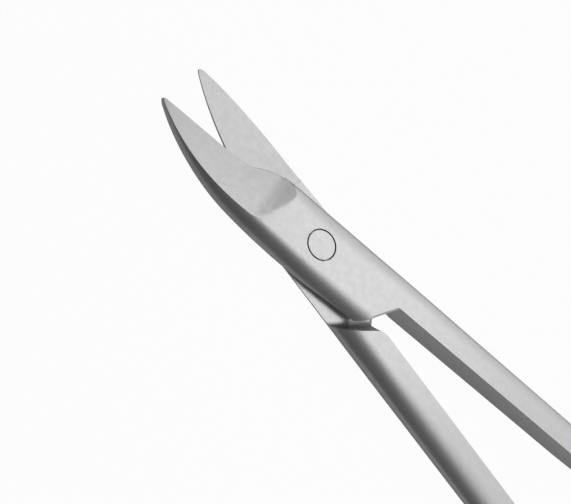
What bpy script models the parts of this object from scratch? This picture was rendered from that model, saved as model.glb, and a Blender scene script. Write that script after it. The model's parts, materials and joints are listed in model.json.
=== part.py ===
"""Curved crown scissors in stainless steel, half open: two forged halves turning on one flush pivot screw.

World frame: +X towards the blade tips, +Z up, the origin on the resting surface under the middle of the scissors.
Both halves share one form. The form's own frame has its origin on the pivot axis, x towards the tip, the blade's
back on +y, the shank on -y and z = 0 on the face that meets the other half. Lengths are metres, angles radians.
"""

import math

import bmesh
import bpy
from mathutils import Matrix

# Joint and pose
OPENING = math.radians(14.9)
HALF_WIDTH = 0.00535
THICKNESS = 0.00185
JOINT_GAP = 0.00004
BLADE_GAP = 0.00007

# How far in from each side the section's rounding reaches, along the half
CROWN = ((-0.050, 0.0036), (-0.030, 0.0031), (-0.014, 0.0026), (0.0, 0.0024), (0.0085, 0.0021))

# Blade: back and edge in plan, its upward curve, and the heights that grinding leaves along them
TIP = 0.0269
TIP_ROUND = 0.0005
BEND_START = 0.0081
BEND_RADIUS = 0.0474
BACK_LINE = (
    (-0.0010, 0.00535),
    (0.0040, 0.00507),
    (0.0100, 0.00468),
    (0.0150, 0.00413),
    (0.0200, 0.00298),
    (0.0240, 0.00159),
    (0.0269, 0.00023),
)
EDGE_LINE = (
    (0.0060, -0.00535),
    (0.0079, -0.00515),
    (0.0096, -0.00472),
    (0.0108, -0.00435),
    (0.0122, -0.00350),
    (0.0132, -0.00278),
    (0.0140, -0.00255),
    (0.0200, -0.00161),
    (0.0240, -0.00090),
    (0.0269, -0.00020),
)
BACK_HEIGHT = ((0.0085, 0.00182), (0.015, 0.00156), (0.020, 0.0012), (0.024, 0.00086), (0.0269, 0.00056))
EDGE_HEIGHT = ((0.0085, 0.00065), (0.013, 0.00055), (0.020, 0.00045), (0.0269, 0.0003))

# Run-out: the ground face curves up in a hollow and then rises straight to the joint's top
RUNOUT_END = 0.0094
RUNOUT_RADIUS = 0.0035
RUNOUT_RISE = math.radians(20)
RUNOUT_START = 0.0046

# Shoulder: the sloping riser on the shank, the corner above it, and the undercut end of the lap that closes on it
RISER_FOOT = -0.01279
RISER_SLANT = 0.78
RISER_LEAN = 0.00125
RISER_FILLET = 0.0004
LAP_END = -0.01346
LAP_END_SLANT = 0.775
LAP_END_LEAN = 0.0008
CROTCH_RADIUS = 0.0009
CORNER_FOOT_RADIUS = 0.0003
CORNER_TOP_RADIUS = 0.0022

# Shank and finger ring
SHANK_INNER_Y = -0.0003
SHANK_STRAIGHT_END = -0.050
SHANK_INNER_END = ((-0.078, -0.0012), (-0.072, -0.0010), (-0.062, -0.0006), (SHANK_STRAIGHT_END, SHANK_INNER_Y))
RING_CENTRE = (-0.0742, -0.0135)
RING_LENGTH = 0.0256
RING_WIDTH = 0.0214
RING_BAR_WIDTH = 0.0037
RING_BAR_HEIGHT = 0.0034
FLARE_OUTER = ((-0.0530, -0.00535), (-0.0612, -0.00535))
FLARE_INNER = ((-0.0525, 0.0030), (-0.0660, 0.0016), (-0.0765, -0.0014))
FLARE_FOOT = (math.radians(15), math.radians(95))
FLARE_INSET = 0.001
FLARE_END_HEIGHT = 0.0013

# Pivot screw and its holes
HEAD_RADIUS = 0.0020
HEAD_RIM_GAP = 0.00012
HEAD_THICKNESS = 0.0009
HEAD_CHAMFER = 0.00006
BEARING_RADIUS = 0.0014
THREAD_RADIUS = 0.0012
RUNNING_GAP = 0.00005
SLOT_WIDTH = 0.0005
SLOT_DEPTH = 0.00055
SLOT_TURN = math.radians(35)

# Fineness of the surfaces, and how far a cutter reaches past what it cuts
SIDE_STEPS = 7
FILLET_STEPS = 6
BLADE_STEP = 0.0007
TIP_STEPS = 5
JOINT_STEP = 0.0015
SHANK_STEP = 0.008
HOLLOW_STEP = 0.0003
FLARE_STEPS = 8
INNER_STEP = 0.0035
RING_STEPS = 64
BAR_STEPS = 16
BORE_STEPS = 48
BEYOND = 0.006
ROUND_SHARE = 0.9
SMOOTH_BELOW = math.radians(28)


def curve_through(points, x):
    """Value at x of the smooth curve through the points, held level past its ends."""
    if x <= points[0][0]:
        return points[0][1]
    if x >= points[-1][0]:
        return points[-1][1]
    slopes = [(b[1] - a[1]) / (b[0] - a[0]) for a, b in zip(points, points[1:])]
    tangents = [slopes[0]] + [(p + q) / 2 for p, q in zip(slopes, slopes[1:])] + [slopes[-1]]
    index = max(i for i, point in enumerate(points[:-1]) if x >= point[0])
    (x0, y0), (x1, y1) = points[index], points[index + 1]
    span = x1 - x0
    s = (x - x0) / span
    rise = y1 - y0
    bulge = (tangents[index] * span - rise) * (1 - s) - (tangents[index + 1] * span - rise) * s
    return y0 + rise * s + s * (1 - s) * bulge


def sweep(corners, s):
    """Point at s, from 0 to 1, of the curve that leaves the first corner towards the second and ends at the third."""
    (x0, y0), (x1, y1), (x2, y2) = corners
    a, b, c = (1 - s) ** 2, 2 * s * (1 - s), s**2
    return a * x0 + b * x1 + c * x2, a * y0 + b * y1 + c * y2


def stations(start, end, step):
    """Evenly spaced values from start to end, both ends in, no farther apart than the step."""
    count = math.ceil(abs(end - start) / step)
    return [start + (end - start) * i / count for i in range(count + 1)]


def arc(centre, radius, start, turn):
    """Points of an arc in the plane, from the start angle through the turn."""
    angles = [start + turn * step / FILLET_STEPS for step in range(FILLET_STEPS + 1)]
    return [(centre[0] + radius * math.cos(a), centre[1] + radius * math.sin(a)) for a in angles]


def tip_taper(x):
    """How much of the blade's width is left at x, which rounds the tip off in plan."""
    start = TIP - TIP_ROUND
    if x <= start:
        return 1.0
    return math.sqrt(max(0.0, 1 - ((x - start) / TIP_ROUND) ** 2))


def back_line(x):
    middle = (BACK_LINE[-1][1] + EDGE_LINE[-1][1]) / 2
    return middle + (curve_through(BACK_LINE, x) - middle) * tip_taper(x)


def edge_line(x):
    middle = (BACK_LINE[-1][1] + EDGE_LINE[-1][1]) / 2
    return middle + (curve_through(EDGE_LINE, x) - middle) * tip_taper(x)


def bent(x, y, z):
    """Carries a point of the straight forging onto the blade's upward curve."""
    if x <= BEND_START:
        return x, y, z
    angle = (x - BEND_START) / BEND_RADIUS
    reach = BEND_RADIUS - z
    return BEND_START + reach * math.sin(angle), y, BEND_RADIUS - reach * math.cos(angle)


def add_loft(mesh, loops, hand, closed=False):
    """Skins a row of matching loops of points into the bmesh, turned over for the other hand, and caps its ends."""
    rows = [[mesh.verts.new(bent(x, hand * y, hand * z)) for x, y, z in loop] for loop in loops]
    count = len(rows[0])
    pairs = list(zip(rows, rows[1:]))
    if closed:
        pairs.append((rows[-1], rows[0]))
    for here, there in pairs:
        for i in range(count):
            j = (i + 1) % count
            mesh.faces.new((here[i], here[j], there[j], there[i]))
    if not closed:
        mesh.faces.new(rows[0])
        mesh.faces.new(rows[-1])
    bmesh.ops.recalc_face_normals(mesh, faces=mesh.faces)


def object_from(name, mesh, material=None):
    data = bpy.data.meshes.new(name)
    mesh.to_mesh(data)
    mesh.free()
    item = bpy.data.objects.new(name, data)
    bpy.context.scene.collection.objects.link(item)
    if material:
        data.materials.append(material)
    return item


def helper(name, mesh):
    """A cutter or an added form: it shapes a half and is not a piece itself."""
    item = object_from(name, mesh)
    item.hide_render = True
    item.display_type = "WIRE"
    return item


def apply_to(target, tool, operation):
    modifier = target.modifiers.new(tool.name, "BOOLEAN")
    modifier.object = tool
    modifier.operation = operation
    modifier.solver = "EXACT"
    tool.parent = target


def forging_section(outer, inner, height):
    """Section standing on the line from the outer to the inner point, with the forging's round sides."""
    (x0, y0), (x1, y1) = outer, inner
    width = math.hypot(x1 - x0, y1 - y0)
    crown = curve_through(CROWN, x0)
    reach = math.asin(height / THICKNESS)
    sides = []
    for step in range(-SIDE_STEPS, SIDE_STEPS + 1):
        angle = reach * step / SIDE_STEPS
        sides.append((crown * (1 - math.cos(angle)) / width, THICKNESS * math.sin(angle)))
    loop = [(x0 + (x1 - x0) * part, y0 + (y1 - y0) * part, z) for part, z in sides]
    loop += [(x1 + (x0 - x1) * part, y1 + (y0 - y1) * part, z) for part, z in reversed(sides)]
    return loop


def blank_height(x):
    """Half thickness of the blank: full, but lower where its two round sides would meet on a narrow blade."""
    room = ROUND_SHARE * (back_line(x) - edge_line(x)) / 2
    return THICKNESS * math.sqrt(1 - max(0.0, 1 - room / curve_through(CROWN, x)) ** 2)


def flare_outer(s):
    """The flare's outer side: in a hollow sweep from the shank into the ring's bar, then inside along the bar."""
    start, end = FLARE_FOOT
    turn = start if s <= 0.5 else start + (end - start) * (2 * s - 1)
    foot_x = RING_CENTRE[0] + (RING_LENGTH / 2 - FLARE_INSET) * math.cos(turn)
    foot_y = RING_CENTRE[1] + (RING_WIDTH / 2 - FLARE_INSET) * math.sin(turn)
    return sweep((*FLARE_OUTER, (foot_x, foot_y)), min(1.0, 2 * s))


def forging_blank(hand):
    """The whole half before grinding: blade, joint and shank in one bar with round sides."""
    blade_end = TIP - TIP_ROUND
    turns = [math.pi / 2 * (i + 0.5) / TIP_STEPS for i in reversed(range(TIP_STEPS))]
    tip = [blade_end + TIP_ROUND * math.sin(turn) for turn in turns]
    blade = stations(blade_end, EDGE_LINE[0][0], BLADE_STEP)
    joint = stations(EDGE_LINE[0][0], BACK_LINE[0][0], JOINT_STEP)
    shank = stations(BACK_LINE[0][0], SHANK_STRAIGHT_END, SHANK_STEP)
    mesh = bmesh.new()
    loops = []
    for x in tip + blade[:-1] + joint[:-1] + shank:
        loops.append(forging_section((x, edge_line(x)), (x, back_line(x)), blank_height(x)))
    for step in range(2 * FLARE_STEPS + 1):
        s = step / (2 * FLARE_STEPS)
        height = THICKNESS + (FLARE_END_HEIGHT - THICKNESS) * s**2
        loops.append(forging_section(flare_outer(s), sweep(FLARE_INNER, s), height))
    add_loft(mesh, loops, hand)
    return mesh


def riser_profile():
    """The riser's (x, z) points over y = 0: along its wall, then round its fillet into the contact face."""
    turn = math.atan2(THICKNESS, RISER_LEAN)
    centre = (RISER_FOOT + RISER_FILLET * math.tan(turn / 2), JOINT_GAP - RISER_FILLET)
    wall = (RISER_FOOT - BEYOND * RISER_LEAN / THICKNESS, -BEYOND)
    return [wall] + arc(centre, RISER_FILLET, math.pi / 2 + turn, -turn)


def lap_cutter(hand):
    """Takes away the other half's share of the joint and blade, up to the riser and its fillet."""
    side = HALF_WIDTH + BEYOND
    rows = [(x + RISER_SLANT * side, x - RISER_SLANT * side, high) for x, high in riser_profile()]
    rows += [(x, x, JOINT_GAP) for x in (EDGE_LINE[0][0], BEND_START)]
    rows += [(x, x, BLADE_GAP) for x in stations(BEND_START, TIP + BLADE_STEP, BLADE_STEP)[1:]]
    mesh = bmesh.new()
    loops = []
    for left, right, high in rows:
        low = -2 * BEYOND
        loops.append([(left, -side, low), (left, -side, high), (right, side, high), (right, side, low)])
    add_loft(mesh, loops, hand)
    return mesh


def runout_lift(x):
    """How high the run-out stands over the ground face at x: a hollow curve, then a straight rise."""
    before = max(0.0, RUNOUT_END - x)
    hollow = min(before, RUNOUT_RADIUS * math.sin(RUNOUT_RISE))
    lift = RUNOUT_RADIUS - math.sqrt(RUNOUT_RADIUS**2 - hollow**2)
    return lift + (before - hollow) * math.tan(RUNOUT_RISE)


def grinding_cutter(hand):
    """Leaves the blade's ground outer face, falling from the back to the thin edge, and its run-out."""
    side = HALF_WIDTH + BEYOND
    high = 2 * BEYOND
    hollow_start = RUNOUT_END - RUNOUT_RADIUS * math.sin(RUNOUT_RISE)
    rise = stations(RUNOUT_START, hollow_start, BLADE_STEP)
    hollow = stations(hollow_start, RUNOUT_END, HOLLOW_STEP)
    face = stations(RUNOUT_END, TIP + BLADE_STEP, BLADE_STEP)
    mesh = bmesh.new()
    loops = []
    for x in rise[:-1] + hollow[:-1] + face:
        back_z = curve_through(BACK_HEIGHT, x)
        edge_z = curve_through(EDGE_HEIGHT, x)
        edge_y = curve_through(EDGE_LINE, x)
        inset = curve_through(CROWN, x) * (1 - math.sqrt(1 - (back_z / THICKNESS) ** 2))
        crest_y = curve_through(BACK_LINE, x) - inset
        slope = (back_z - edge_z) / (crest_y - edge_y)
        across = [(-side, edge_z - slope * TIP_ROUND)]
        for y in (edge_y - TIP_ROUND, (edge_y + crest_y) / 2, crest_y + TIP_ROUND):
            across.append((y, edge_z + slope * (y - edge_y)))
        across.append((side, back_z + slope * TIP_ROUND))
        loop = [(x, y, z + runout_lift(x)) for y, z in across]
        loops.append(loop + [(x, side, high), (x, -side, high)])
    add_loft(mesh, loops, hand)
    return mesh


def crotch_cutter(hand):
    """Opens the gap between the shanks and undercuts the end of the lap."""
    side = HALF_WIDTH + BEYOND
    turn = math.atan2(1.0, LAP_END_SLANT)
    corner_x = LAP_END + LAP_END_SLANT * SHANK_INNER_Y
    centre = (corner_x - CROTCH_RADIUS * math.tan(turn / 2), SHANK_INNER_Y + CROTCH_RADIUS)
    lap_end = arc(centre, CROTCH_RADIUS, -math.pi / 2, turn)
    lap_end.append((LAP_END + LAP_END_SLANT * side, side))
    bow_x = SHANK_INNER_END[0][0]
    far_x = bow_x - BEYOND
    inner_line = [(x, curve_through(SHANK_INNER_END, x)) for x in stations(bow_x, SHANK_STRAIGHT_END, INNER_STEP)]
    inner_line.insert(0, (far_x, inner_line[0][1]))
    mesh = bmesh.new()
    loops = []
    for z in (-BEYOND, BEYOND):
        lean = LAP_END_LEAN * (THICKNESS - z) / THICKNESS
        plan = [(far_x, side)] + inner_line + [(x + lean, y) for x, y in lap_end]
        loops.append([(x, y, z) for x, y in plan])
    add_loft(mesh, loops, hand)
    return mesh


def corner_cutter(hand):
    """Rounds the shank's corner between the riser and the inner wall, wider towards the shank's face."""
    facing = math.atan2(RISER_SLANT, 1.0)
    turn = math.pi / 2 - facing
    widening = (CORNER_TOP_RADIUS - CORNER_FOOT_RADIUS) / THICKNESS
    mesh = bmesh.new()
    loops = []
    for x, z in riser_profile():
        radius = CORNER_FOOT_RADIUS + widening * (JOINT_GAP - z)
        corner_x = x - RISER_SLANT * SHANK_INNER_Y
        reach = radius * math.tan(turn / 2)
        plan = arc((corner_x - reach, SHANK_INNER_Y - radius), radius, math.pi / 2, -turn)
        plan.append((corner_x + reach, SHANK_INNER_Y + radius))
        loops.append([(px, py, z) for px, py in plan])
    add_loft(mesh, loops, hand)
    return mesh


def finger_ring(hand):
    """Oval ring with a rounded bar, tangent to the shank's inner side."""
    mesh = bmesh.new()
    loops = []
    for step in range(RING_STEPS):
        turn = math.tau * step / RING_STEPS
        along = (math.cos(turn), math.sin(turn))
        normal = (along[0] * RING_WIDTH, along[1] * RING_LENGTH)
        length = math.hypot(*normal)
        loop = []
        for part in range(BAR_STEPS):
            angle = math.tau * (part + 0.5) / BAR_STEPS
            out = RING_BAR_WIDTH / 2 * math.cos(angle)
            x = RING_CENTRE[0] + RING_LENGTH / 2 * along[0] + out * normal[0] / length
            y = RING_CENTRE[1] + RING_WIDTH / 2 * along[1] + out * normal[1] / length
            loop.append((x, y, RING_BAR_HEIGHT / 2 * math.sin(angle)))
        loops.append(loop)
    add_loft(mesh, loops, hand, closed=True)
    return mesh


def round_bar(spans):
    """A turned bar about the pivot axis, from (radius, low, high) spans listed upwards."""
    profile = [(0.0, spans[0][1])]
    for radius, low, high in spans:
        profile += [(radius, low), (radius, high)]
    profile.append((0.0, spans[-1][2]))
    mesh = bmesh.new()
    verts = [mesh.verts.new((radius, 0.0, z)) for radius, z in profile]
    edges = [mesh.edges.new(pair) for pair in zip(verts, verts[1:])]
    bmesh.ops.spin(
        mesh,
        geom=verts + edges,
        cent=(0, 0, 0),
        axis=(0, 0, 1),
        angle=math.tau,
        steps=BORE_STEPS,
        use_merge=True,
    )
    bmesh.ops.remove_doubles(mesh, verts=mesh.verts, dist=1e-7)
    bmesh.ops.recalc_face_normals(mesh, faces=mesh.faces)
    return mesh


def pivot_screw(material):
    """Flush plain head, bearing and threaded end, which is ground flush and slotted on the underside."""
    seat = THICKNESS - HEAD_THICKNESS
    spans = (
        (THREAD_RADIUS, -THICKNESS, 0.0),
        (BEARING_RADIUS, 0.0, seat),
        (HEAD_RADIUS, seat, THICKNESS - HEAD_CHAMFER),
        (HEAD_RADIUS - HEAD_CHAMFER, THICKNESS, THICKNESS),
    )
    screw = object_from("pivot_screw", round_bar(spans), material)
    slot = bmesh.new()
    bmesh.ops.create_cube(slot, size=1.0)
    scale = Matrix.Diagonal((4 * THREAD_RADIUS, SLOT_WIDTH, 2 * SLOT_DEPTH, 1.0))
    place = Matrix.Translation((0, 0, -THICKNESS)) @ Matrix.Rotation(SLOT_TURN, 4, "Z")
    bmesh.ops.transform(slot, matrix=place @ scale, verts=slot.verts)
    apply_to(screw, helper("screw_slot", slot), "DIFFERENCE")
    return screw


def scissor_half(name, hand, material, bore):
    half = object_from(name, forging_blank(hand), material)
    apply_to(half, helper(name + "_crotch", crotch_cutter(hand)), "DIFFERENCE")
    apply_to(half, helper(name + "_lap", lap_cutter(hand)), "DIFFERENCE")
    apply_to(half, helper(name + "_corner", corner_cutter(hand)), "DIFFERENCE")
    apply_to(half, helper(name + "_grinding", grinding_cutter(hand)), "DIFFERENCE")
    apply_to(half, helper(name + "_bore", bore), "DIFFERENCE")
    apply_to(half, helper(name + "_ring", finger_ring(hand)), "UNION")
    return half


def steel(name, colour, roughness):
    """Satin stainless steel."""
    material = bpy.data.materials.new(name)
    material.use_nodes = True
    shader = material.node_tree.nodes["Principled BSDF"]
    shader.inputs["Base Color"].default_value = (*colour, 1.0)
    shader.inputs["Metallic"].default_value = 1.0
    shader.inputs["Roughness"].default_value = roughness
    return material


def pivot_x():
    """Places the pivot so that the origin lies under the middle of the scissors' length."""
    half = OPENING / 2
    tip = bent(TIP, 0.0, -BACK_HEIGHT[-1][1] / 2)[0] * math.cos(half)
    long_reach = (RING_LENGTH + RING_BAR_WIDTH) / 2 * math.cos(half)
    wide_reach = (RING_WIDTH + RING_BAR_WIDTH) / 2 * math.sin(half)
    ring = RING_CENTRE[0] * math.cos(half) - RING_CENTRE[1] * math.sin(half) - math.hypot(long_reach, wide_reach)
    return -(tip + ring) / 2


def build():
    for item in list(bpy.data.objects):
        bpy.data.objects.remove(item, do_unlink=True)
    bearing_hole = BEARING_RADIUS + RUNNING_GAP
    recess = HEAD_RADIUS + HEAD_RIM_GAP
    seat = THICKNESS - HEAD_THICKNESS - RUNNING_GAP
    upper_bore = round_bar(((bearing_hole, -BEYOND, seat), (recess, seat, BEYOND)))
    lower_bore = round_bar(((THREAD_RADIUS + RUNNING_GAP, -BEYOND, BEYOND),))
    halves = (
        scissor_half("upper_half", 1, steel("satin_steel_upper", (0.56, 0.56, 0.565), 0.38), upper_bore),
        scissor_half("lower_half", -1, steel("satin_steel_lower", (0.56, 0.56, 0.565), 0.38), lower_bore),
        pivot_screw(steel("satin_steel_screw", (0.58, 0.58, 0.585), 0.34)),
    )
    for item, turn in zip(halves, (OPENING / 2, -OPENING / 2, -OPENING / 2)):
        item.location = (pivot_x(), 0.0, THICKNESS)
        item.rotation_euler = (0.0, 0.0, turn)
        item.data.shade_smooth()
        item.data.set_sharp_from_angle(angle=SMOOTH_BELOW)


build()
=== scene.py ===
"""Curved crown scissors in satin stainless steel, half open on a pale floor."""

import json
import math

import bmesh
import bpy
from mathutils import Matrix, Vector


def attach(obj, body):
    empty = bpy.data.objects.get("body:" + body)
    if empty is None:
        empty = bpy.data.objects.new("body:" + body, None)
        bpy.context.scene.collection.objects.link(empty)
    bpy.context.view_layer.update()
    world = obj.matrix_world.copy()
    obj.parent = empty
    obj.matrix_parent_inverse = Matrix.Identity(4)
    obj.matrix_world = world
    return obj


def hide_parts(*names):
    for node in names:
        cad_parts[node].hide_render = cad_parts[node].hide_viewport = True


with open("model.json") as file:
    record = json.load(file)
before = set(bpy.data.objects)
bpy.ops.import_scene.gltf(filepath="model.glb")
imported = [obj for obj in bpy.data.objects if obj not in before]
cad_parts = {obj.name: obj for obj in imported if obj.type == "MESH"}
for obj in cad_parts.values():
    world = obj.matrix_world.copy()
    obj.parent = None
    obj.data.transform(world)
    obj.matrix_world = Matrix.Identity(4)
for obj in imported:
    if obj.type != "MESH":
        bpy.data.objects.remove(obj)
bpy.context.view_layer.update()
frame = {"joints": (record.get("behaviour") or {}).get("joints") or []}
joint = frame["joints"][0]
pivot = Vector(joint["pos_m"])
opening = -math.radians(joint["range_deg"][0])
MM = 0.001


# Both halves are forged from a stainless bar with round sides, here straight and unground. A half is
# drawn along x from the pivot axis, the tip towards +x, the blade's back on +y, the shank on -y and the
# face that meets the other half on z = 0. The other hand is the same form turned over about x.
THICKNESS = pivot.z
HALF_WIDTH = 5.35 * MM
TIP = 26.72 * MM
TIP_ROUND = 0.55 * MM
BEND_START = 8.1 * MM
BEND_RADIUS = 47.4 * MM
CROWN = [(-50, 3.6), (-30, 3.1), (-14, 2.6), (0, 2.4), (8.5, 2.1)]
OUTER_CROWN = [(-50, 3.6), (-30, 3.1), (-14, 2.7), (-6, 3.4), (4, 3.4), (8.5, 2.1)]
BACK_LINE = [(-1, 5.35), (4, 5.07), (10, 4.68), (15, 4.13), (20, 2.98), (24, 1.59), (26.9, 0.23)]
EDGE_LINE = [
    (6.0, -5.35),
    (7.9, -5.15),
    (9.6, -4.72),
    (10.8, -4.35),
    (12.2, -3.50),
    (13.2, -2.78),
    (14.0, -2.55),
    (20.0, -1.61),
    (24.0, -0.90),
    (26.9, -0.20),
]
SIDE_STEPS = 18
BLADE_STEP = 0.25 * MM
TIP_STEPS = 8
JOINT_STEP = 1.0 * MM
SHANK_STEP = 4.0 * MM
ROUND_SHARE = 0.9


def curve_through(points, x):
    """Value at x, in metres, of the smooth curve through points in millimetres, level past its ends."""
    x = x / MM
    if x <= points[0][0]:
        return points[0][1] * MM
    if x >= points[-1][0]:
        return points[-1][1] * MM
    slopes = [(b[1] - a[1]) / (b[0] - a[0]) for a, b in zip(points, points[1:])]
    tangents = [slopes[0]] + [(p + q) / 2 for p, q in zip(slopes, slopes[1:])] + [slopes[-1]]
    index = max(i for i, point in enumerate(points[:-1]) if x >= point[0])
    (x0, y0), (x1, y1) = points[index], points[index + 1]
    span = x1 - x0
    s = (x - x0) / span
    rise = y1 - y0
    bulge = (tangents[index] * span - rise) * (1 - s) - (tangents[index + 1] * span - rise) * s
    return (y0 + rise * s + s * (1 - s) * bulge) * MM


def stations(start, end, step):
    """Evenly spaced values from start to end, both ends in, no farther apart than the step."""
    count = math.ceil(abs(end - start) / step)
    return [start + (end - start) * i / count for i in range(count + 1)]


def tapered(line, x):
    """A plan line of the blade, drawn in to the middle where the tip is rounded off."""
    middle = (BACK_LINE[-1][1] + EDGE_LINE[-1][1]) / 2 * MM
    beyond = max(0.0, x - (TIP - TIP_ROUND)) / TIP_ROUND
    return middle + (curve_through(line, x) - middle) * math.sqrt(max(0.0, 1 - beyond**2))


def bent(x, y, z):
    """Carries a point of the straight forging onto the blade's upward curve."""
    if x <= BEND_START:
        return x, y, z
    angle = (x - BEND_START) / BEND_RADIUS
    reach = BEND_RADIUS - z
    return BEND_START + reach * math.sin(angle), y, BEND_RADIUS - reach * math.cos(angle)


def lofted(loops, hand, closed=False):
    """A solid bridged over a row of matching loops of points, turned over for the other hand."""
    mesh = bmesh.new()
    rims = []
    for loop in loops:
        verts = [mesh.verts.new(bent(x, hand * y, hand * z)) for x, y, z in loop]
        rims.append([mesh.edges.new(pair) for pair in zip(verts, verts[1:] + verts[:1])])
    pairs = list(zip(rims, rims[1:])) + ([(rims[-1], rims[0])] if closed else [])
    for here, there in pairs:
        bmesh.ops.bridge_loops(mesh, edges=here + there)
    if not closed:
        bmesh.ops.edgeloop_fill(mesh, edges=rims[0] + rims[-1])
    bmesh.ops.recalc_face_normals(mesh, faces=mesh.faces)
    return mesh


def forging_section(outer, inner, height):
    """Section standing on the line from the outer to the inner point, with the forging's round sides."""
    (x0, y0), (x1, y1) = outer, inner
    width = math.hypot(x1 - x0, y1 - y0)
    outer_share = curve_through(OUTER_CROWN, x0) / width
    inner_share = curve_through(CROWN, x0) / width
    reach = math.asin(height / THICKNESS)
    sides = []
    for step in range(-SIDE_STEPS, SIDE_STEPS + 1):
        angle = reach * step / SIDE_STEPS
        sides.append((1 - math.cos(angle), THICKNESS * math.sin(angle)))
    loop = []
    for inset, z in sides:
        share = inset * outer_share
        loop.append((x0 + (x1 - x0) * share, y0 + (y1 - y0) * share, z))
    for inset, z in reversed(sides):
        share = inset * inner_share
        loop.append((x1 + (x0 - x1) * share, y1 + (y0 - y1) * share, z))
    return loop


def blank_height(x):
    """Half thickness of the blank: full, but lower where two round sides would meet on a narrow blade."""
    room = ROUND_SHARE * (tapered(BACK_LINE, x) - tapered(EDGE_LINE, x)) / 2
    return THICKNESS * math.sqrt(1 - max(0.0, 1 - room / curve_through(CROWN, x)) ** 2)


# The shank runs straight to the finger ring and flares into its bar, all in one forging. The flare's
# outer side leaves the shank in a hollow sweep and then follows the inside of the bar; its inner side
# fades into the ring.
SHANK_END = -50.0 * MM
RING_CENTRE = Vector((-74.2, -13.5)) * MM
RING_HALF_LENGTH = 12.8 * MM
RING_HALF_WIDTH = 10.7 * MM
BAR_HALF_WIDTH = 1.81 * MM
BAR_HALF_HEIGHT = 1.7 * MM
FLARE_OUTER = [Vector((-53.0, -5.35)) * MM, Vector((-61.2, -5.35)) * MM]
FLARE_INNER = [Vector((-52.5, 3.0)) * MM, Vector((-66.0, 1.6)) * MM, Vector((-76.5, -1.4)) * MM]
FLARE_FOOT = (math.radians(15), math.radians(95))
FLARE_INSET = 1.0 * MM
FLARE_END_HEIGHT = 1.3 * MM
FLARE_STEPS = 20
RING_STEPS = 112
BAR_STEPS = 48


def sweep(corners, s):
    """Point at s, from 0 to 1, of the curve that leaves the first corner and ends at the third."""
    return corners[0] * (1 - s) ** 2 + corners[1] * 2 * s * (1 - s) + corners[2] * s**2


def flare_outer(s):
    """The flare's outer side: a hollow sweep from the shank into the ring's bar, then along inside it."""
    start, end = FLARE_FOOT
    turn = start + (end - start) * max(0.0, 2 * s - 1)
    foot_x = (RING_HALF_LENGTH - FLARE_INSET) * math.cos(turn)
    foot_y = (RING_HALF_WIDTH - FLARE_INSET) * math.sin(turn)
    return sweep([*FLARE_OUTER, RING_CENTRE + Vector((foot_x, foot_y))], min(1.0, 2 * s))


def forging_blank(hand):
    """The whole half before grinding: blade, joint and shank in one bar with round sides."""
    blade_end = TIP - TIP_ROUND
    turns = [math.pi / 2 * (i + 0.5) / TIP_STEPS for i in reversed(range(TIP_STEPS))]
    places = [blade_end + TIP_ROUND * math.sin(turn) for turn in turns]
    places += stations(blade_end, EDGE_LINE[0][0] * MM, BLADE_STEP)[:-1]
    places += stations(EDGE_LINE[0][0] * MM, BACK_LINE[0][0] * MM, JOINT_STEP)[:-1]
    places += stations(BACK_LINE[0][0] * MM, SHANK_END, SHANK_STEP)
    loops = []
    for x in places:
        edge = (x, tapered(EDGE_LINE, x))
        back = (x, tapered(BACK_LINE, x))
        loops.append(forging_section(edge, back, blank_height(x)))
    for step in range(FLARE_STEPS + 1):
        s = step / FLARE_STEPS
        height = THICKNESS + (FLARE_END_HEIGHT - THICKNESS) * s**2
        loops.append(forging_section(flare_outer(s), sweep(FLARE_INNER, s), height))
    return lofted(loops, hand)


def finger_ring(hand):
    """Oval ring with a rounded bar, tangent to the shank's inner side."""
    loops = []
    for step in range(RING_STEPS):
        turn = math.tau * step / RING_STEPS
        place = RING_CENTRE + Vector((RING_HALF_LENGTH * math.cos(turn), RING_HALF_WIDTH * math.sin(turn)))
        out = Vector((RING_HALF_WIDTH * math.cos(turn), RING_HALF_LENGTH * math.sin(turn))).normalized()
        loop = []
        for part in range(BAR_STEPS):
            angle = math.tau * (part + 0.5) / BAR_STEPS
            x, y = place + out * BAR_HALF_WIDTH * math.cos(angle)
            loop.append((x, y, BAR_HALF_HEIGHT * math.sin(angle)))
        loops.append(loop)
    return lofted(loops, hand, closed=True)


# Milling opens the crotch between the shanks and takes each half down to the contact face for its share
# of the lap. On the shank the lap ends in a sloping riser with a wide fillet, its corner rounded on the
# belt. The other half's lap ends over that riser, undercut to clear its fillet.
JOINT_GAP = 0.04 * MM
BLADE_GAP = 0.07 * MM
RISER_FOOT = -12.79 * MM
RISER_SLANT = 0.78
RISER_LEAN = 1.25 * MM
RISER_FILLET = 1.6 * MM
LAP_END = -13.46 * MM
LAP_END_SLANT = 0.775
LAP_END_LEAN = [
    (-1.85, 3.0),
    (0.0, 1.65),
    (0.1, 1.18),
    (0.2, 0.91),
    (0.4, 0.60),
    (0.75, 0.28),
    (1.57, -0.32),
    (1.85, 0.0),
]
CROTCH_RADIUS = 0.9 * MM
CORNER_FOOT_RADIUS = 0.3 * MM
CORNER_TOP_RADIUS = 2.2 * MM
SHANK_INNER_Y = -0.3 * MM
SHANK_INNER_END = [(-78, -1.2), (-72, -1.0), (-62, -0.6), (-50, -0.3)]
INNER_STEP = 1.2 * MM
FILLET_STEPS = 10
BEYOND = 6.0 * MM


def arc(centre, radius, start, turn):
    """Points of an arc in the plane, from the start angle through the turn."""
    angles = [start + turn * step / FILLET_STEPS for step in range(FILLET_STEPS + 1)]
    return [(centre[0] + radius * math.cos(a), centre[1] + radius * math.sin(a)) for a in angles]


def riser_profile():
    """The riser's (x, z) points over y = 0: along its wall, then round its fillet into the contact face."""
    turn = math.atan2(THICKNESS, RISER_LEAN)
    centre = (RISER_FOOT + RISER_FILLET * math.tan(turn / 2), JOINT_GAP - RISER_FILLET)
    wall = (RISER_FOOT - BEYOND * RISER_LEAN / THICKNESS, -BEYOND)
    return [wall] + arc(centre, RISER_FILLET, math.pi / 2 + turn, -turn)


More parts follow.
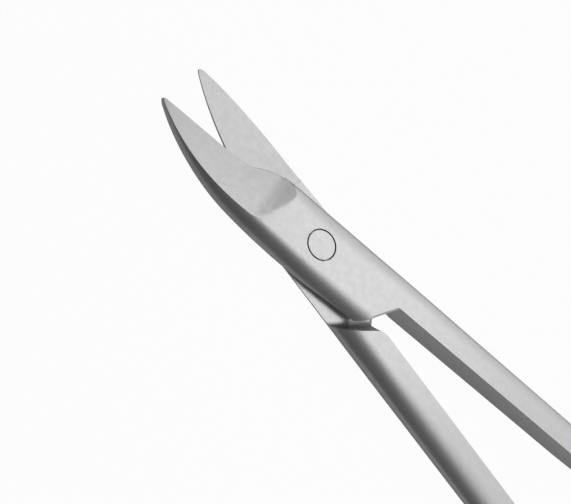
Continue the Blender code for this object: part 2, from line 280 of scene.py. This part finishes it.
def lap_cutter(hand):
    """Takes away the other half's share of the joint and blade, up to the riser and its fillet."""
    side = HALF_WIDTH + BEYOND
    rows = [(x + RISER_SLANT * side, x - RISER_SLANT * side, high) for x, high in riser_profile()]
    rows += [(x, x, JOINT_GAP) for x in (EDGE_LINE[0][0] * MM, BEND_START)]
    rows += [(x, x, BLADE_GAP) for x in stations(BEND_START, TIP + BLADE_STEP, BLADE_STEP)[1:]]
    low = -2 * BEYOND
    loops = []
    for left, right, high in rows:
        loops.append([(left, -side, low), (left, -side, high), (right, side, high), (right, side, low)])
    return lofted(loops, hand)


def corner_cutter(hand):
    """Rounds the shank's corner between the riser and the inner wall, wider towards the shank's face."""
    turn = math.pi / 2 - math.atan2(RISER_SLANT, 1.0)
    widening = (CORNER_TOP_RADIUS - CORNER_FOOT_RADIUS) / THICKNESS
    loops = []
    for x, z in riser_profile():
        radius = CORNER_FOOT_RADIUS + widening * (JOINT_GAP - z)
        corner_x = x - RISER_SLANT * SHANK_INNER_Y
        reach = radius * math.tan(turn / 2)
        plan = arc((corner_x - reach, SHANK_INNER_Y - radius), radius, math.pi / 2, -turn)
        plan.append((corner_x + reach, SHANK_INNER_Y + radius))
        loops.append([(px, py, z) for px, py in plan])
    return lofted(loops, hand)


def crotch_cutter(hand):
    """Opens the gap between the shanks and shapes the end of the lap."""
    side = HALF_WIDTH + BEYOND
    turn = math.atan2(1.0, LAP_END_SLANT)
    corner_x = LAP_END + LAP_END_SLANT * SHANK_INNER_Y
    centre = (corner_x - CROTCH_RADIUS * math.tan(turn / 2), SHANK_INNER_Y + CROTCH_RADIUS)
    lap_end = arc(centre, CROTCH_RADIUS, -math.pi / 2, turn)
    lap_end.append((LAP_END + LAP_END_SLANT * side, side))
    bow_x = SHANK_INNER_END[0][0] * MM
    inner_line = [(x, curve_through(SHANK_INNER_END, x)) for x in stations(bow_x, SHANK_END, INNER_STEP)]
    inner_line = [(bow_x - BEYOND, side), (bow_x - BEYOND, inner_line[0][1])] + inner_line
    loops = []
    levels = [(height * MM, lean * MM) for height, lean in LAP_END_LEAN]
    levels = [(-BEYOND, levels[0][1])] + levels + [(BEYOND, levels[-1][1])]
    for z, lean in levels:
        loops.append([(x, y, z) for x, y in inner_line + [(x + lean, y) for x, y in lap_end]])
    return lofted(loops, hand)


# The joint's lower edge is broken on the belt where it overhangs the other half, widest at the lap's end.
# So a dark line of shadow lies between the two halves there.
EDGE_BREAK = [(-13, 1.20), (-6, 0.88), (0, 0.34), (4, 0.03)]
BREAK_END = 4.0 * MM
BREAK_REACH = 1.0 * MM


def edge_break_cutter(hand):
    """Chamfers the joint's outer edge beside the contact face, wider towards the lap's end."""
    loops = []
    for x in stations(LAP_END - BREAK_REACH, BREAK_END, JOINT_STEP):
        size = curve_through(EDGE_BREAK, x)
        start = curve_through(BACK_LINE, x) - size
        reach = size + BREAK_REACH
        slant = [(start, JOINT_GAP), (start + reach, JOINT_GAP + reach)]
        section = [(start, -BREAK_REACH), *slant, (start + reach, -BREAK_REACH)]
        loops.append([(x, y, z) for y, z in section])
    return lofted(loops, hand)


# A grinding wheel then takes the blade's outer face down from the back to the thinner edge. Where it
# leaves the blade it rises through a shallow hollow to the joint's top, the run-out, whose start is
# blended. The choil's edge is rounded over.
BACK_HEIGHT = [(8.5, 1.82), (15, 1.56), (20, 1.2), (24, 0.86), (26.9, 0.56)]
EDGE_HEIGHT = [(6, 1.2), (10, 0.95), (14, 0.75), (20, 0.5), (26.9, 0.3)]
EDGE_ROUND = [(6, 0.05), (8, 0.28), (12, 0.30), (14, 0.10), (26.9, 0.06)]
EDGE_TURN = math.radians(72)
RIM_LIMIT = 0.9 * THICKNESS
ROUND_STEPS = 6
RUNOUT_START = 4.6 * MM
RUNOUT_END = 10.1 * MM
RUNOUT_RADIUS = 14.0 * MM
RUNOUT_SLOPE = math.radians(10)
RUNOUT_BLEND = 0.05 * MM
FACE_STEPS = 12
HOLLOW_STEP = 0.1 * MM


def runout_lift(x):
    """How high the run-out stands over the ground face at x: out of a hollow, then up a steady slope."""
    before = max(0.0, RUNOUT_END - x)
    hollow = min(before, RUNOUT_RADIUS * math.sin(RUNOUT_SLOPE))
    rise = RUNOUT_RADIUS - math.sqrt(RUNOUT_RADIUS**2 - hollow**2)
    return rise + (before - hollow) * math.tan(RUNOUT_SLOPE)


def blended(z):
    """The wheel's height over the bed, rounded off where it comes up through the joint's top."""
    over = z - THICKNESS
    if over >= RUNOUT_BLEND:
        return z - RUNOUT_BLEND
    return min(z, THICKNESS) - max(0.0, RUNOUT_BLEND - abs(over)) ** 2 / (4 * RUNOUT_BLEND)


def grinding_cutter(hand):
    """Leaves the blade's ground outer face, falling from the back to the thin edge, and its run-out."""
    side = HALF_WIDTH + BEYOND
    high = 2 * BEYOND
    places = stations(RUNOUT_START, RUNOUT_END, HOLLOW_STEP)[:-1]
    places += stations(RUNOUT_END, TIP + BLADE_STEP, BLADE_STEP)
    loops = []
    for x in places:
        back_z = curve_through(BACK_HEIGHT, x)
        edge_z = curve_through(EDGE_HEIGHT, x)
        edge_y = curve_through(EDGE_LINE, x)
        crown = curve_through(CROWN, x)
        crest_y = curve_through(BACK_LINE, x) - crown * (1 - math.sqrt(1 - (back_z / THICKNESS) ** 2))
        slope = (back_z - edge_z) / (crest_y - edge_y)
        lift = runout_lift(x)
        rim_z = min(edge_z + lift, RIM_LIMIT)
        rim_y = edge_y + curve_through(OUTER_CROWN, x) * (1 - math.sqrt(1 - (rim_z / THICKNESS) ** 2))
        radius = curve_through(EDGE_ROUND, x)
        rounding = []
        for step in range(1, ROUND_STEPS + 1):
            angle = EDGE_TURN * step / ROUND_STEPS
            y = rim_y + radius * (1 - math.sin(angle))
            top_z = edge_z + slope * (rim_y + radius - edge_y)
            rounding.append((y, top_z - radius * (1 - math.cos(angle))))
        foot_z = rounding[-1][1]
        across = [(-side, foot_z), (edge_y - TIP_ROUND, foot_z)] + rounding[::-1]
        for step in range(FACE_STEPS + 1):
            y = rim_y + radius + (crest_y + TIP_ROUND - rim_y - radius) * step / FACE_STEPS
            across.append((y, edge_z + slope * (y - edge_y)))
        across.append((side, back_z + slope * TIP_ROUND))
        loop = [(x, y, blended(z + lift)) for y, z in across]
        loops.append(loop + [(x, side, high), (x, -side, high)])
    return lofted(loops, hand)


# The screw holes are drilled last: a counterbored bearing hole in the upper half and a threaded one in
# the lower half. The gap left round the screw's head shows as a dark line.
BORE_STEPS = 96
HEAD_RADIUS = 2.0 * MM
HEAD_THICKNESS = 0.9 * MM
HEAD_RIM_GAP = 0.16 * MM
BEARING_RADIUS = 1.4 * MM
THREAD_RADIUS = 1.2 * MM
RUNNING_GAP = 0.05 * MM
SHARP_ANGLE = math.radians(9)
SLIVER = 0.003 * MM
TOUCHING = 0.0001 * MM


def turned(spans):
    """A turned bar about the pivot axis, from (radius, low, high) spans listed upwards."""
    profile = [(0.0, spans[0][1])]
    for radius, low, high in spans:
        profile += [(radius, low), (radius, high)]
    profile.append((0.0, spans[-1][2]))
    mesh = bmesh.new()
    verts = [mesh.verts.new((radius, 0.0, z)) for radius, z in profile]
    edges = [mesh.edges.new(pair) for pair in zip(verts, verts[1:])]
    whole = {"angle": math.tau, "steps": BORE_STEPS, "use_merge": True}
    bmesh.ops.spin(mesh, geom=verts + edges, cent=(0, 0, 0), axis=(0, 0, 1), **whole)
    bmesh.ops.remove_doubles(mesh, verts=mesh.verts, dist=TOUCHING)
    bmesh.ops.recalc_face_normals(mesh, faces=mesh.faces)
    return mesh


def object_from(name, mesh):
    """A new object from a bmesh, which is freed."""
    data = bpy.data.meshes.new(name)
    mesh.to_mesh(data)
    mesh.free()
    piece = bpy.data.objects.new(name, data)
    bpy.context.scene.collection.objects.link(piece)
    return piece


def finished(name, blank, tools, turn):
    """Works the blank with its tools, clears the slivers, swings it to its place and shades it."""
    rough = object_from(name, blank)
    helpers = []
    for index, (mesh, operation) in enumerate(tools):
        helpers.append(object_from(name + "_tool_" + str(index), mesh))
        modifier = rough.modifiers.new(helpers[-1].name, "BOOLEAN")
        modifier.object = helpers[-1]
        modifier.operation = operation
        modifier.solver = "EXACT"
    data = bpy.data.meshes.new_from_object(rough.evaluated_get(bpy.context.evaluated_depsgraph_get()))
    for item in [rough] + helpers:
        bpy.data.objects.remove(item)
    place = Matrix.Translation(pivot) @ Matrix.Rotation(turn, 4, "Z")
    mesh = bmesh.new()
    mesh.from_mesh(data)
    bmesh.ops.remove_doubles(mesh, verts=mesh.verts, dist=SLIVER)
    bmesh.ops.triangulate(mesh, faces=mesh.faces)
    bmesh.ops.dissolve_degenerate(mesh, dist=SLIVER, edges=mesh.edges)
    bmesh.ops.transform(mesh, matrix=place, verts=mesh.verts)
    mesh.to_mesh(data)
    mesh.free()
    data.shade_smooth()
    data.set_sharp_from_angle(angle=SHARP_ANGLE)
    data.name = name
    piece = bpy.data.objects.new(name, data)
    bpy.context.scene.collection.objects.link(piece)
    even = piece.modifiers.new("even_shading", "WEIGHTED_NORMAL")
    even.keep_sharp = True
    return piece


def scissor_half(name, hand, bore):
    """One half, worked from its blank, drilled with the bore and turned to its side of the opening."""
    cutters = (crotch_cutter, lap_cutter, corner_cutter, edge_break_cutter, grinding_cutter)
    tools = [(cutter(hand), "DIFFERENCE") for cutter in cutters]
    tools += [(bore, "DIFFERENCE"), (finger_ring(hand), "UNION")]
    return finished(name, forging_blank(hand), tools, hand * opening / 2)


# Satin stainless steel, hardened 420 grade: bead blasted and brushed lengthwise, so it has a soft broad
# sheen with fine grain, faint clouds and streaks. Grain from 0.05 mm beads is drawn over twice as coarse,
# to show, and so are the streaks. The blades are ground once more, and their ground faces carry painted
# shade: a darker tint that stands in for the shade their slope takes from the light.
SATIN_STEEL = "#D8D8D9"
CLOUDED_STEEL = "#D4D4D5"
PAINTED_SHADE_FROM = 6.5 * MM
PAINTED_SHADE_TO = 10.5 * MM
SATIN_ROUGHNESS = (0.34, 0.37)
CLOUD_WIDTH = 0.9 * MM
CLOUD_SPAN = (0.35, 0.65)
BLAST_GRAIN = 0.13 * MM
BLAST_DEPTH = 0.014 * MM
STREAK_LENGTH = 3.0 * MM
STREAK_WIDTH = 0.12 * MM
STREAK_DEPTH = 0.006 * MM


def linear_colour(hex_value):
    """The linear colour of an sRGB hex value."""
    channels = [int(hex_value[i : i + 2], 16) / 255 for i in (1, 3, 5)]
    return tuple(c / 12.92 if c <= 0.04045 else ((c + 0.055) / 1.055) ** 2.4 for c in channels) + (1.0,)


def add_node(tree, kind, links=(), **settings):
    """Adds a node with its settings, and links (output, input name) pairs into it."""
    node = tree.nodes.new(kind)
    for name, value in settings.items():
        if name in node.inputs:
            node.inputs[name].default_value = value
        else:
            setattr(node, name, value)
    for source, target in links:
        tree.links.new(source, node.inputs[target])
    return node


def satin_steel(name, turn, painted_blade_shade):
    """The finish, streaked along a half that is turned so far, with painted shade darkening its ground
    blade.
    """
    material = bpy.data.materials.new(name)
    material.use_nodes = True
    tree = material.node_tree
    shader = tree.nodes["Principled BSDF"]
    shader.inputs["Metallic"].default_value = 1.0
    place = add_node(tree, "ShaderNodeTexCoord").outputs["Object"]
    along = add_node(tree, "ShaderNodeMapping", [(place, "Vector")], Rotation=(0, 0, -turn)).outputs[0]
    clouds = add_node(tree, "ShaderNodeTexNoise", [(along, "Vector")], Scale=1 / CLOUD_WIDTH, Detail=4.0)
    cloudy = add_node(tree, "ShaderNodeMapRange", [(clouds.outputs[0], "Value")])
    cloudy.inputs["From Min"].default_value = CLOUD_SPAN[0]
    cloudy.inputs["From Max"].default_value = CLOUD_SPAN[1]
    tones = add_node(tree, "ShaderNodeMix", [(cloudy.outputs[0], 0)], data_type="RGBA")
    tones.inputs[6].default_value = linear_colour(SATIN_STEEL)
    tones.inputs[7].default_value = linear_colour(CLOUDED_STEEL)
    centred = add_node(tree, "ShaderNodeMapping", [(along, "Vector")])
    centred.inputs["Location"].default_value = Matrix.Rotation(-turn, 3, "Z") @ -pivot
    reach = add_node(tree, "ShaderNodeSeparateXYZ", [(centred.outputs[0], 0)]).outputs["X"]
    # Painted shade: past the joint, the blade's ground face is darkened by a tint in place of the shade its
    # slope takes.
    blade_shade_mask = add_node(tree, "ShaderNodeMapRange", [(reach, "Value")], interpolation_type="SMOOTHSTEP")
    blade_shade_mask.inputs["From Min"].default_value = PAINTED_SHADE_FROM
    blade_shade_mask.inputs["From Max"].default_value = PAINTED_SHADE_TO
    layers = [(blade_shade_mask.outputs[0], 0), (tones.outputs[2], 6)]
    shades = add_node(tree, "ShaderNodeMix", layers, data_type="RGBA", blend_type="MULTIPLY")
    shades.inputs[7].default_value = linear_colour(painted_blade_shade)
    tree.links.new(shades.outputs[2], shader.inputs["Base Color"])
    polish = add_node(tree, "ShaderNodeMapRange", [(clouds.outputs[0], "Value")])
    polish.inputs["From Min"].default_value = CLOUD_SPAN[0]
    polish.inputs["From Max"].default_value = CLOUD_SPAN[1]
    polish.inputs["To Min"].default_value = SATIN_ROUGHNESS[0]
    polish.inputs["To Max"].default_value = SATIN_ROUGHNESS[1]
    tree.links.new(polish.outputs[0], shader.inputs["Roughness"])
    grain = add_node(tree, "ShaderNodeTexNoise", [(along, "Vector")], Scale=1 / BLAST_GRAIN, Detail=1.0)
    scale = (1 / STREAK_LENGTH, 1 / STREAK_WIDTH, 1 / STREAK_WIDTH)
    stretched = add_node(tree, "ShaderNodeMapping", [(along, "Vector")], Scale=scale).outputs[0]
    streaks = add_node(tree, "ShaderNodeTexNoise", [(stretched, "Vector")], Scale=1.0, Detail=2.0)
    blasted = add_node(tree, "ShaderNodeBump", [(grain.outputs[0], "Height")], Distance=BLAST_DEPTH)
    brushed_links = [(streaks.outputs[0], "Height"), (blasted.outputs[0], "Normal")]
    brushed = add_node(tree, "ShaderNodeBump", brushed_links, Distance=STREAK_DEPTH)
    tree.links.new(brushed.outputs[0], shader.inputs["Normal"])
    return material


# The upper half carries the counterbore for the screw's head. It is fitted to the lower half and finished
# as a pair with it.
# Painted shade on the upper blade's ground face: a darker tint that stands in for shade.
UPPER_PAINTED_SHADE = "#F2F2F2"
upper_bore = turned(
    [
        (BEARING_RADIUS + RUNNING_GAP, -BEYOND, THICKNESS - HEAD_THICKNESS - RUNNING_GAP),
        (HEAD_RADIUS + HEAD_RIM_GAP, THICKNESS - HEAD_THICKNESS - RUNNING_GAP, BEYOND),
    ]
)
upper = scissor_half("upper_half_satin", 1, upper_bore)
upper.data.materials.append(satin_steel("satin_stainless_upper", opening / 2, UPPER_PAINTED_SHADE))
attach(upper, "upper")
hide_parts("upper_half")


# The lower half is the same forging of the other hand, drilled and tapped for the screw instead of
# counterbored. It was finished in the same batch, so it has the same satin.
# Painted shade on the lower blade's ground face: a darker tint that stands in for shade.
LOWER_PAINTED_SHADE = "#EFEFEF"
lower_bore = turned([(THREAD_RADIUS + RUNNING_GAP, -BEYOND, BEYOND)])
lower = scissor_half("lower_half_satin", -1, lower_bore)
lower.data.materials.append(satin_steel("satin_stainless_lower", -opening / 2, LOWER_PAINTED_SHADE))
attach(lower, "lower")
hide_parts("lower_half")


# The pivot screw is turned from stainless bar. It is screwed home, ground flush with the upper half's
# face and finished with it, so only a fine rim shows. Its threaded end is flush on the underside, with a
# driver's slot.
HEAD_CHAMFER = 0.06 * MM
SLOT_WIDTH = 0.5 * MM
SLOT_DEPTH = 0.55 * MM
SLOT_TURN = math.radians(35)
seat = THICKNESS - HEAD_THICKNESS
screw_blank = turned(
    [
        (THREAD_RADIUS, -THICKNESS, 0.0),
        (BEARING_RADIUS, 0.0, seat),
        (HEAD_RADIUS, seat, THICKNESS - HEAD_CHAMFER),
        (HEAD_RADIUS - HEAD_CHAMFER, THICKNESS, THICKNESS),
    ]
)
slot = bmesh.new()
bmesh.ops.create_cube(slot, size=1.0)
slot_size = Matrix.Diagonal((4 * THREAD_RADIUS, SLOT_WIDTH, 2 * SLOT_DEPTH, 1.0))
slot_place = Matrix.Translation((0, 0, -THICKNESS)) @ Matrix.Rotation(SLOT_TURN, 4, "Z")
bmesh.ops.transform(slot, matrix=slot_place @ slot_size, verts=slot.verts)
screw = finished("pivot_screw_satin", screw_blank, [(slot, "DIFFERENCE")], -opening / 2)
screw.data.materials.append(satin_steel("satin_stainless_screw", -opening / 2, UPPER_PAINTED_SHADE))
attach(screw, "lower")
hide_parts("pivot_screw")


# The floor is a wide sheet of pale acrylic with a satin sheen. The camera sees it as white with the
# scissors' soft shadow on it, and the steel sees it dimmer, as it sees the table of a small product
# studio.
FLOOR_HALF = 0.6
FLOOR_DROP = 0.02 * MM
FLOOR_GREY = "#BCBCBC"
FLOOR_SHEEN = 0.25
CAMERA_WHITE = 0.97
GLOSSY_WHITE = 0.16


def shown_white(tree, name, reflected_white):
    """How much of the plain white a ray meets: nearly all for the camera, a little for reflections."""
    rays = add_node(tree, "ShaderNodeLightPath")
    camera_ray = rays.outputs["Is Camera Ray"]
    camera_part = add_node(tree, "ShaderNodeMath", [(camera_ray, 0)], operation="MULTIPLY")
    camera_part.inputs[1].default_value = CAMERA_WHITE
    pair = [(rays.outputs["Is Glossy Ray"], 0), (rays.outputs["Is Transmission Ray"], 1)]
    reflected = add_node(tree, "ShaderNodeMath", pair, operation="ADD")
    share = add_node(
        tree,
        "ShaderNodeMath",
        [(reflected.outputs[0], 0), (camera_part.outputs[0], 2)],
        operation="MULTIPLY_ADD",
        name=name,
    )
    share.inputs[1].default_value = reflected_white
    return share.outputs[0]


mesh = bmesh.new()
bmesh.ops.create_grid(mesh, x_segments=1, y_segments=1, size=FLOOR_HALF)
bmesh.ops.translate(mesh, verts=mesh.verts, vec=(0, 0, -FLOOR_DROP))
floor = object_from("acrylic_floor", mesh)
acrylic = bpy.data.materials.new("satin_acrylic")
acrylic.use_nodes = True
tree = acrylic.node_tree
tree.nodes.clear()
white = add_node(tree, "ShaderNodeEmission", Color=(1, 1, 1, 1), Strength=1.0)
satin = add_node(tree, "ShaderNodeBsdfPrincipled", Roughness=FLOOR_SHEEN)
satin.inputs["Base Color"].default_value = linear_colour(FLOOR_GREY)
layers = [(shown_white(tree, "shown_white", GLOSSY_WHITE), 0), (satin.outputs[0], 1), (white.outputs[0], 2)]
mixed = add_node(tree, "ShaderNodeMixShader", layers)
add_node(tree, "ShaderNodeOutputMaterial", [(mixed.outputs[0], "Surface")])
floor.data.materials.append(acrylic)


# Light: the far side of a small studio is bright and the near side dark, so that flat faces shine and the
# round sides towards the camera stay dark. The bright side lies at a slant, so directions are measured
# across it.
DARK_SIDE = 0.03
ROOM_WHITE = 0.08
BRIGHT_SIDE = 0.80
BRIGHT_TURN = math.radians(42)
STEP_FROM = -0.14
STEP_TO = -0.34
FALL_SPAN = (-0.1, 0.6)
FALL_SHARE = 0.82
world = bpy.data.worlds.new("small_studio")
bpy.context.scene.world = world
world.use_nodes = True
tree = world.node_tree
tree.nodes.clear()


def graded(source, span, values):
    """A smooth rise or fall between two values over a span of the source."""
    node = add_node(tree, "ShaderNodeMapRange", [(source, "Value")], interpolation_type="SMOOTHSTEP")
    node.inputs["From Min"].default_value = span[0]
    node.inputs["From Max"].default_value = span[1]
    node.inputs["To Min"].default_value = values[0]
    node.inputs["To Max"].default_value = values[1]
    return node.outputs[0]


direction = add_node(tree, "ShaderNodeTexCoord").outputs["Generated"]
axes = add_node(tree, "ShaderNodeSeparateXYZ", [(direction, 0)]).outputs
slant_x = add_node(tree, "ShaderNodeMath", [(axes["X"], 0)], operation="MULTIPLY")
slant_x.inputs[1].default_value = math.sin(BRIGHT_TURN)
parts = [(axes["Y"], 0), (slant_x.outputs[0], 2)]
slant = add_node(tree, "ShaderNodeMath", parts, operation="MULTIPLY_ADD")
slant.inputs[1].default_value = math.cos(BRIGHT_TURN)
bright = graded(slant.outputs[0], (STEP_TO, STEP_FROM), (BRIGHT_SIDE, DARK_SIDE))
falling = graded(axes["X"], FALL_SPAN, (1.0, FALL_SHARE))
strength = add_node(tree, "ShaderNodeMath", [(bright, 0), (falling, 1)], operation="MULTIPLY")
room = add_node(tree, "ShaderNodeBackground", [(strength.outputs[0], "Strength")], Color=(1, 1, 1, 1))
white = add_node(tree, "ShaderNodeBackground", Color=(1, 1, 1, 1), Strength=1.0)
layers = [(shown_white(tree, "shown_white", ROOM_WHITE), 0), (room.outputs[0], 1), (white.outputs[0], 2)]
mixed = add_node(tree, "ShaderNodeMixShader", layers)
add_node(tree, "ShaderNodeOutputWorld", [(mixed.outputs[0], "Surface")])

# One soft panel hangs over the far side. It lights the joint's flat faces from there and lays the soft
# shadow on the floor.
PANEL_PLACE = Vector((-0.08, -0.36, 0.62))
PANEL_WIDTH = 0.55
PANEL_DEPTH = 0.5
PANEL_RADIANCE = 0.42
lamp = bpy.data.lights.new("overhead_panel", "AREA")
lamp.shape = "RECTANGLE"
lamp.size = PANEL_WIDTH
lamp.size_y = PANEL_DEPTH
lamp.energy = PANEL_RADIANCE * math.pi * PANEL_WIDTH * PANEL_DEPTH
panel = bpy.data.objects.new("overhead_panel", lamp)
bpy.context.scene.collection.objects.link(panel)
panel.location = PANEL_PLACE
panel.rotation_euler = (PANEL_PLACE - pivot).to_track_quat("Z", "Y").to_euler()


# The camera stands close over the joint, a little past it towards the tips. Its place, turn and lens are
# those of the photograph.
CAMERA_FROM_PIVOT = Vector((13.255, 38.894, 61.158)) * MM
CAMERA_RIGHT = Vector((-0.68382, -0.57389, 0.45061))
CAMERA_UP = Vector((0.71426, -0.65267, 0.25269))
LENS_MM = 35.51
SENSOR_MM = 36.0
lens = bpy.data.cameras.new("photo_camera")
lens.sensor_width = SENSOR_MM
lens.lens = LENS_MM
lens.clip_start = 1 * MM
lens.clip_end = 10.0
camera = bpy.data.objects.new("photo_camera", lens)
bpy.context.scene.collection.objects.link(camera)
back = CAMERA_RIGHT.cross(CAMERA_UP)
turn = Matrix((CAMERA_RIGHT, CAMERA_UP, back)).transposed()
camera.matrix_world = Matrix.Translation(pivot + CAMERA_FROM_PIVOT) @ turn.to_4x4()
bpy.context.scene.camera = camera
bpy.context.scene.view_settings.view_transform = "Standard"
